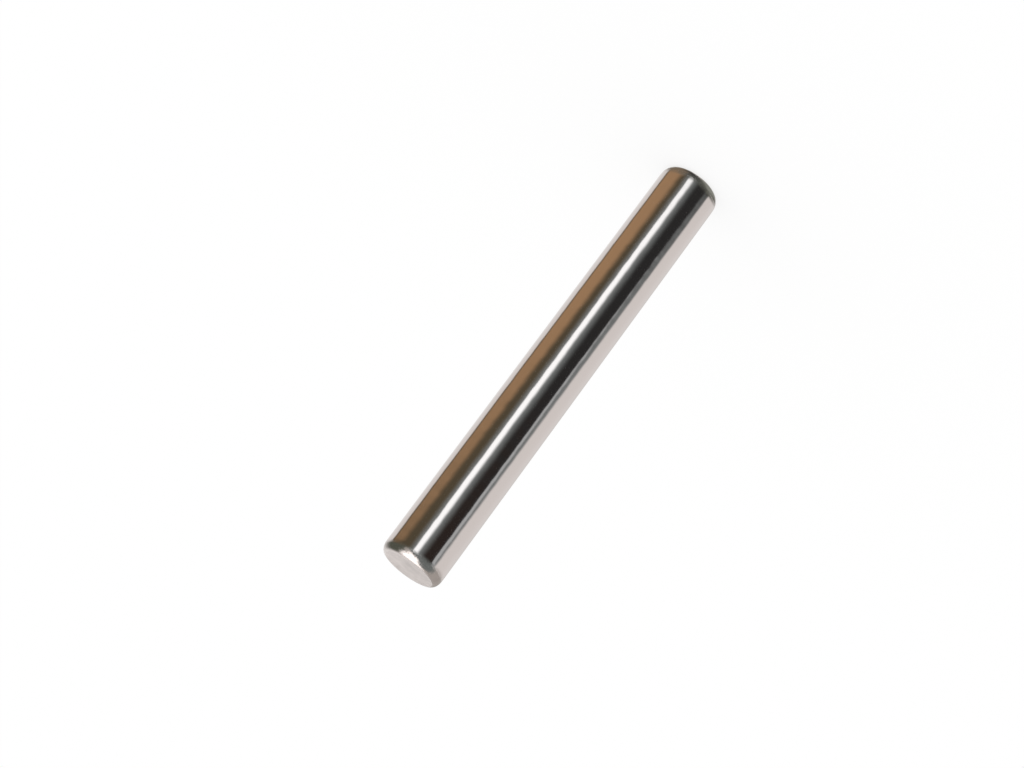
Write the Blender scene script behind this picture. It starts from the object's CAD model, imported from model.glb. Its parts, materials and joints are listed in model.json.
"""Needle roller in polished bearing steel, standing on one flat end in a plain white studio."""

import json
import math
from typing import NamedTuple

import bpy
from bpy.props import FloatProperty, FloatVectorProperty, IntProperty, PointerProperty
from mathutils import Matrix, Vector


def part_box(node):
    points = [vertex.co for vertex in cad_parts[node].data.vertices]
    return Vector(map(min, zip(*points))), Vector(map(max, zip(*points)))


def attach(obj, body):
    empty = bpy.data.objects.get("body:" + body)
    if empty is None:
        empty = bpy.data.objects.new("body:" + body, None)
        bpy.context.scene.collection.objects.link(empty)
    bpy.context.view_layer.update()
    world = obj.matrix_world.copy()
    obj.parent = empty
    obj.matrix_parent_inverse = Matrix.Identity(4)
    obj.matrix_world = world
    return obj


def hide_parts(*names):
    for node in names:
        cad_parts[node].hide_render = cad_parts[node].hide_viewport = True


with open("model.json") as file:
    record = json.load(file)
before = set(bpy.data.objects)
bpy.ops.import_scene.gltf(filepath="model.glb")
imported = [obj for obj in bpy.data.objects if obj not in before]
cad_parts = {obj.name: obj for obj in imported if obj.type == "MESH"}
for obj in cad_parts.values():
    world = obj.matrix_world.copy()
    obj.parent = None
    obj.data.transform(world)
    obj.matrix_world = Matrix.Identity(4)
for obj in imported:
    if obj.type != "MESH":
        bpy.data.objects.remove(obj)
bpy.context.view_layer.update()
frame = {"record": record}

bl_info = {
    "name": "Needle Roller",
    "version": (1, 0, 0),
    "blender": (4, 5, 0),
    "location": "3D View > Sidebar > Needle Roller",
    "description": "Builds a needle roller of polished bearing steel and its white studio",
    "category": "Object",
}

MM = 0.001
NODE = "needle_roller"
# Size of the rendered frame, in pixels, and width of the camera's sensor, in millimetres
FRAME_WIDTH, FRAME_HEIGHT = 1024, 768
SENSOR_WIDTH = 36
# Points closer than this, in millimetres, are the two sides of a seam or the middle of a face
WELD = 0.0002
# Rows of faces on each stretch of the roller's section
FACE_ROWS = 8
CORNER_ROWS = 12
SHOULDER_ROWS = 14
BLEND_ROWS = 8
SIDE_ROWS = 96
# A Mix node's colour inputs and colour result, which share their names with its other kinds
MIX_A, MIX_B, MIXED = 6, 7, 2
# The floor reaches this far from the roller, in metres, and gives this share of its white itself
FLOOR_REACH = 1.5
FLOOR_OWN_LIGHT = 0.8

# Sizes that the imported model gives
MOUNTS = {mount["name"]: mount for mount in frame["record"]["mounts"]}
GROUND = MOUNTS["rolling_surface"]["dims"]
CAD_LENGTH = (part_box(NODE)[1].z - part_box(NODE)[0].z) / MM


def hex_to_linear(code):
    """Turns an sRGB hex colour such as #c8c0b8 into linear red, green and blue."""
    channels = [int(code[i : i + 2], 16) / 255 for i in (1, 3, 5)]
    return [c / 12.92 if c <= 0.04045 else ((c + 0.055) / 1.055) ** 2.4 for c in channels]


def add_node(tree, kind, inputs=None, **settings):
    """Adds a node to the tree, with its settings, and sets or links each input that is given."""
    node = tree.nodes.new(kind)
    for setting, value in settings.items():
        setattr(node, setting, value)
    for key, value in (inputs or {}).items():
        if isinstance(value, bpy.types.NodeSocket):
            tree.links.new(value, node.inputs[key])
        else:
            node.inputs[key].default_value = value
    return node


# Settings


class RollerSettings(bpy.types.PropertyGroup):
    """Sizes and finish of the roller"""

    diameter: FloatProperty(
        name="Diameter",
        description="Diameter of the ground side, in millimetres",
        default=2 * GROUND["r_mm"],
        min=1,
    )
    length: FloatProperty(
        name="Length",
        description="Length over the two end faces, in millimetres",
        default=CAD_LENGTH,
        min=5,
    )
    ground_length: FloatProperty(
        name="Ground length",
        description="Length of the ground side between the two rounded shoulders, in millimetres",
        default=GROUND["length_mm"],
        min=1,
    )
    shoulder_radius: FloatProperty(
        name="Shoulder radius",
        description="Radius of the long arc of each rounded shoulder, in millimetres",
        default=0.708,
        min=0.1,
    )
    blend_radius: FloatProperty(
        name="Blend radius",
        description="Radius with which the ground side runs out into each shoulder, in millimetres",
        default=3.6,
        min=0.1,
    )
    blend_turn: FloatProperty(
        name="Blend turn",
        description="Angle over which the side runs out before the shoulder's own arc starts",
        subtype="ANGLE",
        default=math.radians(5),
        min=0,
        max=math.radians(20),
    )
    corner_radius: FloatProperty(
        name="Corner radius",
        description="Radius that tumbling leaves round each flat end face, in millimetres",
        default=0.3,
        min=0.01,
    )
    facets: IntProperty(
        name="Facets",
        description="Number of faces round the roller",
        default=256,
        min=48,
        max=320,
    )
    steel: FloatVectorProperty(
        name="Steel",
        description="Colour that the polished steel gives to a white reflection",
        subtype="COLOR",
        default=hex_to_linear("#cbc2be"),
        min=0,
        max=1,
    )


class StudioSettings(bpy.types.PropertyGroup):
    """Camera and floor"""

    lens: FloatProperty(
        name="Lens",
        description="Focal length of the camera, in millimetres",
        subtype="DISTANCE_CAMERA",
        default=78.94,
        min=20,
    )
    depth: FloatProperty(
        name="Depth",
        description="Depth of the middle of the roller in front of the camera, in millimetres",
        default=134.80,
        min=50,
    )
    middle: FloatVectorProperty(
        name="Middle",
        description="Pixel of the frame that shows the middle of the roller",
        size=2,
        default=(555.48, 370.01),
    )
    pitch: FloatProperty(
        name="Pitch",
        description="Angle by which the camera looks down",
        subtype="ANGLE",
        default=math.radians(20.28),
    )
    roll: FloatProperty(
        name="Roll",
        description="Angle by which the camera is turned about its own line of sight",
        subtype="ANGLE",
        default=math.radians(-143.26),
    )
    floor: FloatVectorProperty(
        name="Floor",
        description="Colour of the floor",
        subtype="COLOR",
        default=hex_to_linear("#ffffff"),
        min=0,
        max=1,
    )


# Materials

# The wheel's marks on the side, in millimetres. The real ones are some 0.01 mm apart: these are
# drawn further apart than that, so that they show, and run this far round the roller.
MARK_SPACING = 0.05
MARK_LENGTH = 1.0
MARK_HEIGHT = 0.0004
# The waves by which the side is out of true, in millimetres. They are drawn some micrometres
# high, several times as high as lapping leaves them, so that they show.
WAVE_LENGTH = 1.0
WAVE_HEIGHT = 0.011
# Roughness of the ground side, from the smoothest marks to the roughest
GROUND_ROUGHNESS = (0.08, 0.14)
# Depth of the pits that tumbling leaves, and size of its lighter and darker patches, in
# millimetres
PIT_DEPTH = 0.01
PATCH_SIZE = 1.0
# The noise that makes the patches stays mostly between these values
PATCH_RANGE = (0.3, 0.7)
# How far the roughness of a tumbled part goes below and above the middle of its range
ROUGHNESS_SPREAD = 0.05


def new_material(name):
    """Makes a node material of that name, with nothing in its tree."""
    material = bpy.data.materials.new(name)
    material.use_nodes = True
    material.node_tree.nodes.clear()
    return material, material.node_tree


def add_steel_shader(tree, colour, roughness, normal):
    """Ends a steel's tree: a bare metal of that colour, roughness and normal."""
    shader = add_node(
        tree,
        "ShaderNodeBsdfPrincipled",
        {
            "Base Color": colour,
            "Metallic": 1.0,
            "Roughness": roughness,
            "Normal": normal,
        },
    )
    add_node(tree, "ShaderNodeOutputMaterial", {"Surface": shader.outputs[0]})


def ground_steel(colour):
    """Bearing steel, hardened, centreless ground and lapped: close to a mirror.

    The wheel's marks run round the roller, and the edges of what shows in it waver a little.
    """
    material, tree = new_material("ground_bearing_steel")
    place = add_node(tree, "ShaderNodeTexCoord").outputs["Object"]
    along_mark, across_mark = 1 / (MARK_LENGTH * MM), 1 / (MARK_SPACING * MM)
    marks_place = add_node(
        tree,
        "ShaderNodeMapping",
        {"Vector": place, "Scale": (along_mark, along_mark, across_mark)},
    )
    marks = add_node(
        tree,
        "ShaderNodeTexNoise",
        {"Vector": marks_place.outputs[0], "Scale": 1.0, "Detail": 2.0, "Roughness": 0.6},
    )
    waves = add_node(
        tree,
        "ShaderNodeTexNoise",
        {
            "Vector": place,
            "Scale": 1 / (WAVE_LENGTH * MM),
            "Detail": 1.0,
            "Roughness": 0.5,
        },
    )
    wave_bump = add_node(
        tree,
        "ShaderNodeBump",
        {"Height": waves.outputs["Fac"], "Strength": 1.0, "Distance": WAVE_HEIGHT * MM},
    )
    mark_bump = add_node(
        tree,
        "ShaderNodeBump",
        {
            "Height": marks.outputs["Fac"],
            "Strength": 0.5,
            "Distance": MARK_HEIGHT * MM,
            "Normal": wave_bump.outputs[0],
        },
    )
    smoothest, roughest = GROUND_ROUGHNESS
    roughness = add_node(
        tree,
        "ShaderNodeMapRange",
        {"Value": marks.outputs["Fac"], "To Min": smoothest, "To Max": roughest},
    )
    add_steel_shader(tree, (*colour, 1), roughness.outputs[0], mark_bump.outputs[0])
    return material


class Satin(NamedTuple):
    """How barrel tumbling leaves a part of the roller.

    pit_size is in millimetres, and is several times the real size, so that the pits show.
    polish is the roughness at the middle of its range, and mottle is how far the steel's
    colour goes up and down from patch to patch.
    """

    pit_size: float
    polish: float
    mottle: float


SHOULDER_SATIN = Satin(pit_size=0.12, polish=0.2, mottle=0.08)
FACE_SATIN = Satin(pit_size=0.2, polish=0.35, mottle=0.16)


def tumbled_steel(name, colour, satin):
    """Bearing steel as barrel tumbling leaves it: satin, with shallow rounded pits."""
    material, tree = new_material(name)
    place = add_node(tree, "ShaderNodeTexCoord").outputs["Object"]
    pits = add_node(
        tree,
        "ShaderNodeTexNoise",
        {
            "Vector": place,
            "Scale": 1 / (satin.pit_size * MM),
            "Detail": 3.0,
            "Roughness": 0.6,
        },
    )
    bump = add_node(
        tree,
        "ShaderNodeBump",
        {"Height": pits.outputs["Fac"], "Strength": 1.0, "Distance": PIT_DEPTH * MM},
    )
    roughness = add_node(
        tree,
        "ShaderNodeMapRange",
        {
            "Value": pits.outputs["Fac"],
            "To Min": satin.polish - ROUGHNESS_SPREAD,
            "To Max": satin.polish + ROUGHNESS_SPREAD,
        },
    )
    patches = add_node(
        tree,
        "ShaderNodeTexNoise",
        {
            "Vector": place,
            "Scale": 1 / (PATCH_SIZE * MM),
            "Detail": 4.0,
            "Roughness": 0.7,
        },
    )
    darkest, lightest = PATCH_RANGE
    lighter = add_node(
        tree,
        "ShaderNodeMapRange",
        {"Value": patches.outputs["Fac"], "From Min": darkest, "From Max": lightest},
    )
    tint = add_node(
        tree,
        "ShaderNodeMix",
        {
            "Factor": lighter.outputs[0],
            MIX_A: (*(channel * (1 - satin.mottle) for channel in colour), 1),
            MIX_B: (*(channel * (1 + satin.mottle) for channel in colour), 1),
        },
        data_type="RGBA",
    )
    add_steel_shader(tree, tint.outputs[MIXED], roughness.outputs[0], bump.outputs[0])
    return material


# The roller's mesh


class Line(NamedTuple):
    """A straight stretch of the roller's section, by the radius and height of its ends."""

    from_radius: object
    from_height: object
    to_radius: object
    to_height: object
    rows: int


class Arc(NamedTuple):
    """A round stretch of the section, by its centre, its radius and its angles above level."""

    centre_radius: object
    centre_height: object
    radius: object
    from_angle: object
    to_angle: object
    rows: int


def add_section_point(tree, stretch, share):
    """Adds the radius and height of the point at that share of the way along the stretch."""
    if isinstance(stretch, Line):
        ends = (
            (stretch.from_radius, stretch.to_radius),
            (stretch.from_height, stretch.to_height),
        )
        return [
            add_node(
                tree, "ShaderNodeMapRange", {"Value": share, "To Min": start, "To Max": end}
            ).outputs[0]
            for start, end in ends
        ]
    angle = add_node(
        tree,
        "ShaderNodeMapRange",
        {"Value": share, "To Min": stretch.from_angle, "To Max": stretch.to_angle},
    ).outputs[0]
    point = []
    for operation, centre in (
        ("COSINE", stretch.centre_radius),
        ("SINE", stretch.centre_height),
    ):
        part = add_node(tree, "ShaderNodeMath", {0: angle}, operation=operation).outputs[0]
        offset = add_node(
            tree,
            "ShaderNodeMath",
            {0: part, 1: stretch.radius, 2: centre},
            operation="MULTIPLY_ADD",
        )
        point.append(offset.outputs[0])
    return point


def add_band(tree, facets, stretch):
    """Adds the band that a stretch of the section sweeps out round the axis.

    It starts as a grid 1 by 1 about the origin, whose X becomes the turn round the axis and
    whose Y becomes the share of the way along the stretch.
    """
    columns = add_node(tree, "FunctionNodeIntegerMath", {0: facets, 1: 1}, operation="ADD")
    grid = add_node(
        tree,
        "GeometryNodeMeshGrid",
        {
            "Size X": 1.0,
            "Size Y": 1.0,
            "Vertices X": columns.outputs[0],
            "Vertices Y": stretch.rows + 1,
        },
    )
    on_grid = add_node(tree, "GeometryNodeInputPosition").outputs[0]
    place = add_node(tree, "ShaderNodeSeparateXYZ", {0: on_grid})
    turn = add_node(
        tree,
        "ShaderNodeMapRange",
        {"Value": place.outputs["X"], "From Min": -0.5, "From Max": 0.5, "To Max": math.tau},
    ).outputs[0]
    share = add_node(
        tree, "ShaderNodeMath", {0: place.outputs["Y"], 1: 0.5}, operation="ADD"
    ).outputs[0]
    radius, height = add_section_point(tree, stretch, share)
    sides = [
        add_node(
            tree,
            "ShaderNodeMath",
            {
                0: radius,
                1: add_node(tree, "ShaderNodeMath", {0: turn}, operation=part).outputs[0],
            },
            operation="MULTIPLY",
        ).outputs[0]
        for part in ("COSINE", "SINE")
    ]
    point = add_node(
        tree, "ShaderNodeCombineXYZ", {"X": sides[0], "Y": sides[1], "Z": height}
    )
    band = add_node(
        tree,
        "GeometryNodeSetPosition",
        {"Geometry": grid.outputs["Mesh"], "Position": point.outputs[0]},
    )
    return band.outputs[0]


# What the half section needs, worked out from the tree's named inputs in metres and radians: each
# result, its operation and its terms. A wide arc leaves the side along its line, the shoulder's
# arc rolls inside it, and the corner's smaller arc inside that one runs on, flat into the face.
SECTION_SUMS = {
    "blend centre": ("SUBTRACT", "Radius", "Blend radius"),
    "blend reach": ("SUBTRACT", "Blend radius", "Shoulder radius"),
    "blend sine": ("SINE", "Blend turn"),
    "blend cosine": ("COSINE", "Blend turn"),
    "blend below": ("MULTIPLY", "Blend turn", -1.0),
    "blend start": ("MULTIPLY_ADD", "blend reach", "blend sine", "Shoulder length"),
    "upper blend": ("SUBTRACT", "Length", "blend start"),
    "arc centre": ("MULTIPLY_ADD", "blend reach", "blend cosine", "blend centre"),
    "reach": ("SUBTRACT", "Shoulder radius", "Corner radius"),
    "rise": ("SUBTRACT", "Shoulder length", "Corner radius"),
    "touch sine": ("DIVIDE", "rise", "reach"),
    "touch": ("ARCSINE", "touch sine"),
    "touch below": ("MULTIPLY", "touch", -1.0),
    "touch cosine": ("COSINE", "touch"),
    "corner centre": ("MULTIPLY_ADD", "reach", "touch cosine", "arc centre"),
    "upper rim": ("SUBTRACT", "Length", "Shoulder length"),
    "upper corner": ("SUBTRACT", "Length", "Corner radius"),
    "half": ("MULTIPLY", "Length", 0.5),
    "rim from half": ("SUBTRACT", "half", "Shoulder length"),
    "face from half": ("SUBTRACT", "half", WELD * MM),
}


def turned_roller_tree():
    """The geometry tree that turns the roller from its half section.

    The section runs from the middle of the lower face outwards, up the side and back to the
    axis, so every band faces outwards. At each end the ground side runs out in a wide arc,
    the shoulder's arc runs on from it, and the tumbled corner is a smaller arc that ends
    flat in the face.
    """
    tree = bpy.data.node_groups.new("turned_roller", "GeometryNodeTree")
    for label, kind in (
        ("Radius", "NodeSocketFloat"),
        ("Length", "NodeSocketFloat"),
        ("Shoulder length", "NodeSocketFloat"),
        ("Shoulder radius", "NodeSocketFloat"),
        ("Blend radius", "NodeSocketFloat"),
        ("Blend turn", "NodeSocketFloat"),
        ("Corner radius", "NodeSocketFloat"),
        ("Facets", "NodeSocketInt"),
        ("Side", "NodeSocketMaterial"),
        ("Shoulder", "NodeSocketMaterial"),
        ("Face", "NodeSocketMaterial"),
    ):
        tree.interface.new_socket(label, in_out="INPUT", socket_type=kind)
    tree.interface.new_socket("Geometry", in_out="OUTPUT", socket_type="NodeSocketGeometry")
    given = add_node(tree, "NodeGroupInput").outputs

    known = {socket.name: socket for socket in given if socket.name}
    for result, (operation, *terms) in SECTION_SUMS.items():
        inputs = {place: known.get(term, term) for place, term in enumerate(terms)}
        known[result] = add_node(tree, "ShaderNodeMath", inputs, operation=operation).outputs[0]
    radius, length, shoulder = known["Radius"], known["Length"], known["Shoulder length"]
    blend_radius, blend_centre = known["Blend radius"], known["blend centre"]
    blend_start, upper_blend = known["blend start"], known["upper blend"]
    blend_turn, blend_down = known["Blend turn"], known["blend below"]
    arc_radius, arc_centre = known["Shoulder radius"], known["arc centre"]
    corner_radius, corner_centre = known["Corner radius"], known["corner centre"]
    upper_rim, upper_corner = known["upper rim"], known["upper corner"]
    touch, down = known["touch"], known["touch below"]
    right_angle = math.pi / 2
    stretches = (
        Line(0.0, 0.0, corner_centre, 0.0, rows=FACE_ROWS),
        Arc(corner_centre, corner_radius, corner_radius, -right_angle, down, rows=CORNER_ROWS),
        Arc(arc_centre, shoulder, arc_radius, down, blend_down, rows=SHOULDER_ROWS),
        Arc(blend_centre, blend_start, blend_radius, blend_down, 0.0, rows=BLEND_ROWS),
        Line(radius, blend_start, radius, upper_blend, rows=SIDE_ROWS),
        Arc(blend_centre, upper_blend, blend_radius, 0.0, blend_turn, rows=BLEND_ROWS),
        Arc(arc_centre, upper_rim, arc_radius, blend_turn, touch, rows=SHOULDER_ROWS),
        Arc(corner_centre, upper_corner, corner_radius, touch, right_angle, rows=CORNER_ROWS),
        Line(corner_centre, length, 0.0, length, rows=FACE_ROWS),
    )
    joined = add_node(tree, "GeometryNodeJoinGeometry")
    for stretch in stretches:
        tree.links.new(add_band(tree, given["Facets"], stretch), joined.inputs[0])
    welded = add_node(
        tree,
        "GeometryNodeMergeByDistance",
        {"Geometry": joined.outputs[0], "Distance": WELD * MM},
    )
    smooth = add_node(tree, "GeometryNodeSetShadeSmooth", {"Geometry": welded.outputs[0]})
    real = add_node(tree, "GeometryNodeRealizeInstances", {"Geometry": smooth.outputs[0]})
    # A face's own middle tells which finish it has: how far it is from half the length
    middle = add_node(tree, "GeometryNodeInputPosition").outputs[0]
    height = add_node(tree, "ShaderNodeSeparateXYZ", {0: middle}).outputs["Z"]
    from_half = add_node(
        tree, "ShaderNodeMath", {0: height, 1: known["half"]}, operation="SUBTRACT"
    ).outputs[0]
    from_half = add_node(tree, "ShaderNodeMath", {0: from_half}, operation="ABSOLUTE").outputs[0]
    on_shoulder, on_face = (
        add_node(
            tree,
            "ShaderNodeMath",
            {0: from_half, 1: known[start]},
            operation="GREATER_THAN",
        ).outputs[0]
        for start in ("rim from half", "face from half")
    )
    finished = real.outputs[0]
    for label, chosen in (("Side", True), ("Shoulder", on_shoulder), ("Face", on_face)):
        finished = add_node(
            tree,
            "GeometryNodeSetMaterial",
            {"Geometry": finished, "Selection": chosen, "Material": given[label]},
        ).outputs[0]
    add_node(tree, "NodeGroupOutput", {"Geometry": finished})
    return tree


def baked_piece(name, tree, values):
    """Runs a geometry tree with those inputs and gives its result as a plain mesh object."""
    carrier = bpy.data.objects.new(name, bpy.data.meshes.new(name))
    bpy.context.scene.collection.objects.link(carrier)
    modifier = carrier.modifiers.new(name, "NODES")
    modifier.node_group = tree
    for item in tree.interface.items_tree:
        if item.in_out == "INPUT":
            modifier[item.identifier] = values[item.name]
    carrier.update_tag()
    shape = carrier.evaluated_get(bpy.context.evaluated_depsgraph_get())
    mesh = bpy.data.meshes.new_from_object(shape)
    carrier.modifiers.remove(modifier)
    carrier.data = mesh
    return carrier


class NEEDLE_ROLLER_OT_build_roller(bpy.types.Operator):
    """Build the steel roller in place of the plain CAD node"""

    bl_idname = "needle_roller.build_roller"
    bl_label = "Build roller"

    def execute(self, context):
        made = context.scene.needle_roller
        values = {
            "Radius": made.diameter / 2 * MM,
            "Length": made.length * MM,
            "Shoulder length": (made.length - made.ground_length) / 2 * MM,
            "Shoulder radius": made.shoulder_radius * MM,
            "Blend radius": made.blend_radius * MM,
            "Blend turn": made.blend_turn,
            "Corner radius": made.corner_radius * MM,
            "Facets": made.facets,
            "Side": ground_steel(made.steel),
            "Shoulder": tumbled_steel("tumbled_shoulder_steel", made.steel, SHOULDER_SATIN),
            "Face": tumbled_steel("tumbled_end_face_steel", made.steel, FACE_SATIN),
        }
        roller = baked_piece("roller", turned_roller_tree(), values)
        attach(roller, "root")
        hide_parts(NODE)
        return {"FINISHED"}


# The studio


class Card(NamedTuple):
    """A thing that stands round the roller and shows in its polish.

    Its left and right edges are bearings, clockwise as seen from above and starting at the
    camera's side, and its low and high edges are heights above level. Each comes with the
    width over which the edge blurs. All are in degrees. lean is how far the right edge moves
    for each degree of height, and the right edge is where it would meet level.
    """

    left: float
    left_blur: float
    right: float
    right_blur: float
    low: float
    low_blur: float
    high: float
    high_blur: float
    colour: str
    strength: float = 1.0
    lean: float = 0.0


CARDS = {
    "paper_in_shade": Card(150, 44, 176, 8, -95, 1, -8, 6, "#e2dfdd"),
    "shade_left": Card(-120, 8, -6, 16, -60, 20, 95, 1, "#615948"),
    "shade_right": Card(-6, 16, 46, 8, -60, 20, 95, 1, "#333435", lean=-1.0),
    "shade_near": Card(2, 12, 62, 10, -18.5, 5, -5.5, 4, "#352e2b", lean=1.0),
    "ceiling_left": Card(-142, 52, -17, 40, -8, 10, 95, 1, "#60655b"),
    "ceiling_right": Card(-17, 40, 168, 20, -8.5, 8, 95, 1, "#7d8686"),
    "wall_right": Card(80, 20, 172, 14, -11, 8.5, 95, 1, "#c2bfbb"),
    "wall_end": Card(160, 14, 179, 2, -11, 9, 3, 6, "#a8a5a1"),
    "brown_board": Card(-113.5, 12, -96.3, 26, -60, 20, -14.5, 20, "#be9b76", lean=-1.45),
    "lamp_glow": Card(-34, 26, 6, 34, -60, 20, 6, 12, "#949d9f"),
    "strip_lamp": Card(-24.8, 4, -7.2, 11, -36, 24, -6.8, 4, "#f0f8fc", 1.9),
    "sheet_turn": Card(54, 8, 62.3, 11, -27, 10, -8, 6, "#8b9395", lean=-0.45),
    "sheet_edge": Card(50, 3, 74, 4, -23.5, 6, -10.8, 4, "#ccd4d8", lean=0.8),
    "floor_behind": Card(-152, 40, -50, 24, -95, 1, -32, 12, "#747972"),
    "floor_before": Card(-74, 24, 66, 16, -95, 1, -34, 14, "#747972"),
    "floor_right": Card(54, 16, 148, 40, -95, 1, -30.4, 5, "#747972"),
    "floor_pale": Card(56, 30, 150, 30, -95, 1, -43, 10, "#a3aaa3"),
    "floor_left": Card(-152, 30, -50, 20, -68, 12, -33, 9, "#8e8271"),
    "floor_ahead": Card(-50, 20, 23, 30, -95, 1, -36, 14, "#5c605d"),
    "floor_gap": Card(-105, 20, -25, 30, -95, 1, -63, 12, "#3c3e3e"),
}


def add_card(tree, bearing, height, card, behind):
    """Adds one card in front of what is behind it."""
    leaning = add_node(
        tree,
        "ShaderNodeMath",
        {0: height, 1: -card.lean, 2: bearing},
        operation="MULTIPLY_ADD",
    ).outputs[0]
    share = 1.0
    for value, edge, blur, side in (
        (bearing, card.left, card.left_blur, 1),
        (leaning, card.right, card.right_blur, -1),
        (height, card.low, card.low_blur, 1),
        (height, card.high, card.high_blur, -1),
    ):
        inside = add_node(
            tree,
            "ShaderNodeMapRange",
            {
                "Value": value,
                "From Min": math.radians(edge - side * blur / 2),
                "From Max": math.radians(edge + side * blur / 2),
            },
            interpolation_type="SMOOTHSTEP",
        ).outputs[0]
        share = add_node(
            tree, "ShaderNodeMath", {0: share, 1: inside}, operation="MULTIPLY"
        ).outputs[0]
    colour = [channel * card.strength for channel in hex_to_linear(card.colour)]
    mixed = add_node(
        tree,
        "ShaderNodeMix",
        {"Factor": share, MIX_A: behind, MIX_B: (*colour, 1)},
        data_type="RGBA",
    )
    return mixed.outputs[MIXED]


# The overhead lamp is a flat panel. A ray meets its plane at x and y, in shares of the panel's
# height, and is on the panel where a * x + b * y is under c for every side (a, b, c).
LAMP_SIDES = ((-1, 0, 0.25), (1, 0.6, 0.8), (1, 1, 0.7), (0, 1, 1.3), (-1, -0.75, 1.28))
# Its edge blurs over this much to each side of c
LAMP_BLUR = 0.12
# The height above level, in degrees, from which it shows in full
LAMP_FADE = 22
# Its brightness, where plain white is 1
LAMP_LIGHT = 2.2
# A flap of paper hangs from the lamp on its left, as seen from the roller
LAMP_FLAP = Card(-51, 8, -35, 6, -3, 8, 37, 8, "#d6d4d0")


def add_overhead_lamp(tree, direction, part, height, behind):
    """Adds the lamp overhead in front of what is behind it, faded away near level."""
    up = add_node(
        tree, "ShaderNodeCombineXYZ", {axis: part["Z"] for axis in ("X", "Y", "Z")}
    ).outputs[0]
    spot = add_node(
        tree, "ShaderNodeVectorMath", {0: direction, 1: up}, operation="DIVIDE"
    ).outputs[0]
    share = add_node(
        tree,
        "ShaderNodeMapRange",
        {"Value": height, "From Min": 0.0, "From Max": math.radians(LAMP_FADE)},
        interpolation_type="SMOOTHSTEP",
    ).outputs[0]
    for across, along, edge in LAMP_SIDES:
        beyond = add_node(
            tree,
            "ShaderNodeVectorMath",
            {0: spot, 1: (across, along, -edge)},
            operation="DOT_PRODUCT",
        ).outputs["Value"]
        inside = add_node(
            tree,
            "ShaderNodeMapRange",
            {"Value": beyond, "From Min": LAMP_BLUR, "From Max": -LAMP_BLUR},
            interpolation_type="SMOOTHSTEP",
        ).outputs[0]
        share = add_node(
            tree, "ShaderNodeMath", {0: share, 1: inside}, operation="MULTIPLY"
        ).outputs[0]
    light = (LAMP_LIGHT, LAMP_LIGHT, LAMP_LIGHT, 1.0)
    mixed = add_node(
        tree,
        "ShaderNodeMix",
        {"Factor": share, MIX_A: behind, MIX_B: light},
        data_type="RGBA",
    )
    return mixed.outputs[MIXED]


def build_world(scene):
    """Lights the studio evenly in white, and sets the cards where the polished steel shows them.

    The camera and the floor see plain white. Mirror rays see the same white, with the cards
    in front of it.
    """
    world = bpy.data.worlds.new("white_studio")
    world.use_nodes = True
    world.cycles.sampling_method = "NONE"
    scene.world = world
    tree = world.node_tree
    tree.nodes.clear()
    direction = add_node(tree, "ShaderNodeTexCoord").outputs["Generated"]
    part = add_node(tree, "ShaderNodeSeparateXYZ", {0: direction}).outputs
    minus = [
        add_node(tree, "ShaderNodeMath", {0: part[axis], 1: -1.0}, operation="MULTIPLY")
        for axis in ("X", "Y")
    ]
    bearing = add_node(
        tree,
        "ShaderNodeMath",
        {0: minus[0].outputs[0], 1: minus[1].outputs[0]},
        operation="ARCTAN2",
    ).outputs[0]
    height = add_node(tree, "ShaderNodeMath", {0: part["Z"]}, operation="ARCSINE").outputs[0]
    shown = (1.0, 1.0, 1.0, 1.0)
    for card in CARDS.values():
        shown = add_card(tree, bearing, height, card, shown)
    shown = add_overhead_lamp(tree, direction, part, height, shown)
    shown = add_card(tree, bearing, height, LAMP_FLAP, shown)
    path = add_node(tree, "ShaderNodeLightPath").outputs
    mirrored = add_node(
        tree,
        "ShaderNodeMath",
        {0: path["Is Glossy Ray"], 1: path["Is Transmission Ray"]},
        operation="MAXIMUM",
    )
    plain = add_node(tree, "ShaderNodeBackground", {"Color": (1.0, 1.0, 1.0, 1.0)})
    studio = add_node(tree, "ShaderNodeBackground", {"Color": shown})
    seen = add_node(
        tree,
        "ShaderNodeMixShader",
        {0: mirrored.outputs[0], 1: plain.outputs[0], 2: studio.outputs[0]},
    )
    add_node(tree, "ShaderNodeOutputWorld", {"Surface": seen.outputs[0]})


def build_floor(colour):
    """Lays the white floor that the roller stands on."""
    mesh = bpy.data.meshes.new("floor")
    sides = ((-1, -1), (1, -1), (1, 1), (-1, 1))
    corners = [(x * FLOOR_REACH, y * FLOOR_REACH, 0) for x, y in sides]
    mesh.from_pydata(corners, [], [(0, 1, 2, 3)])
    floor = bpy.data.objects.new("floor", mesh)
    bpy.context.scene.collection.objects.link(floor)
    # The steel shows the studio's cards and not the floor
    floor.visible_glossy = False
    material, tree = new_material("white_floor_paper")
    paper = add_node(tree, "ShaderNodeBsdfDiffuse", {"Color": (*colour, 1)})
    white = add_node(tree, "ShaderNodeEmission", {"Strength": 1.0})
    path = add_node(tree, "ShaderNodeLightPath").outputs
    # Most of the paper's white is its own, so that the shadow stays but is faint
    own = add_node(
        tree,
        "ShaderNodeMath",
        {0: path["Is Camera Ray"], 1: FLOOR_OWN_LIGHT},
        operation="MULTIPLY",
    )
    mixed = add_node(
        tree,
        "ShaderNodeMixShader",
        {0: own.outputs[0], 1: paper.outputs[0], 2: white.outputs[0]},
    )
    # From below, the paper is clear
    below = add_node(tree, "ShaderNodeNewGeometry").outputs["Backfacing"]
    clear = add_node(tree, "ShaderNodeBsdfTransparent")
    sided = add_node(
        tree,
        "ShaderNodeMixShader",
        {0: below, 1: mixed.outputs[0], 2: clear.outputs[0]},
    )
    add_node(tree, "ShaderNodeOutputMaterial", {"Surface": sided.outputs[0]})
    mesh.materials.append(material)


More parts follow.
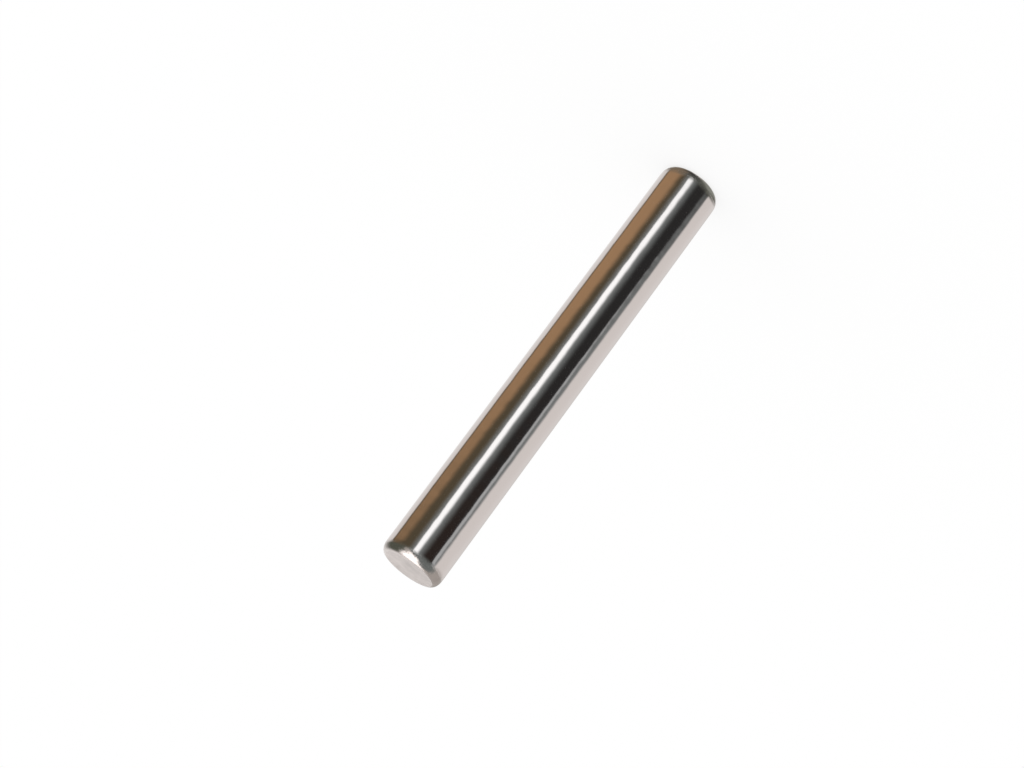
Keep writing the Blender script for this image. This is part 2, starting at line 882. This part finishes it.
def build_camera(scene, studio, roller):
    """Stands the camera so that the middle of the roller falls on its pixel of the frame."""
    data = bpy.data.cameras.new("camera")
    data.sensor_fit = "HORIZONTAL"
    data.sensor_width = SENSOR_WIDTH
    data.lens = studio.lens
    data.clip_start = 1 * MM
    data.clip_end = 10
    camera = bpy.data.objects.new("camera", data)
    scene.collection.objects.link(camera)
    turn = Matrix.Rotation(math.pi / 2 - studio.pitch, 3, "X")
    turn = turn @ Matrix.Rotation(studio.roll, 3, "Z")
    per_pixel = studio.depth * SENSOR_WIDTH / studio.lens / FRAME_WIDTH
    aside = (studio.middle[0] - FRAME_WIDTH / 2) * per_pixel
    above = (FRAME_HEIGHT / 2 - studio.middle[1]) * per_pixel
    middle = Vector((0, 0, roller.length / 2))
    place = (middle - turn @ Vector((aside, above, -studio.depth))) * MM
    camera.matrix_world = Matrix.Translation(place) @ turn.to_4x4()
    scene.camera = camera


class NEEDLE_ROLLER_OT_build_stage(bpy.types.Operator):
    """Build the white floor, the light and the camera"""

    bl_idname = "needle_roller.build_stage"
    bl_label = "Build stage"

    def execute(self, context):
        scene = context.scene
        build_floor(scene.roller_studio.floor)
        build_world(scene)
        build_camera(scene, scene.roller_studio, scene.needle_roller)
        scene.view_settings.view_transform = "Standard"
        return {"FINISHED"}


class NEEDLE_ROLLER_PT_panel(bpy.types.Panel):
    """Lists the roller's settings and the steps that build it"""

    bl_idname = "NEEDLE_ROLLER_PT_panel"
    bl_label = "Needle Roller"
    bl_space_type = "VIEW_3D"
    bl_region_type = "UI"
    bl_category = "Needle Roller"

    def draw(self, context):
        for group, operator in (
            (context.scene.needle_roller, NEEDLE_ROLLER_OT_build_roller),
            (context.scene.roller_studio, NEEDLE_ROLLER_OT_build_stage),
        ):
            box = self.layout.box()
            for name in group.__annotations__:
                box.prop(group, name)
            box.operator(operator.bl_idname)


CLASSES = (
    RollerSettings,
    StudioSettings,
    NEEDLE_ROLLER_OT_build_roller,
    NEEDLE_ROLLER_OT_build_stage,
    NEEDLE_ROLLER_PT_panel,
)


def register():
    for cls in CLASSES:
        bpy.utils.register_class(cls)
    bpy.types.Scene.needle_roller = PointerProperty(type=RollerSettings)
    bpy.types.Scene.roller_studio = PointerProperty(type=StudioSettings)


def unregister():
    del bpy.types.Scene.roller_studio
    del bpy.types.Scene.needle_roller
    for cls in reversed(CLASSES):
        bpy.utils.unregister_class(cls)


def main():
    """Builds the roller and its stage."""
    register()
    bpy.ops.needle_roller.build_roller()
    bpy.ops.needle_roller.build_stage()


if __name__ == "__main__":
    main()
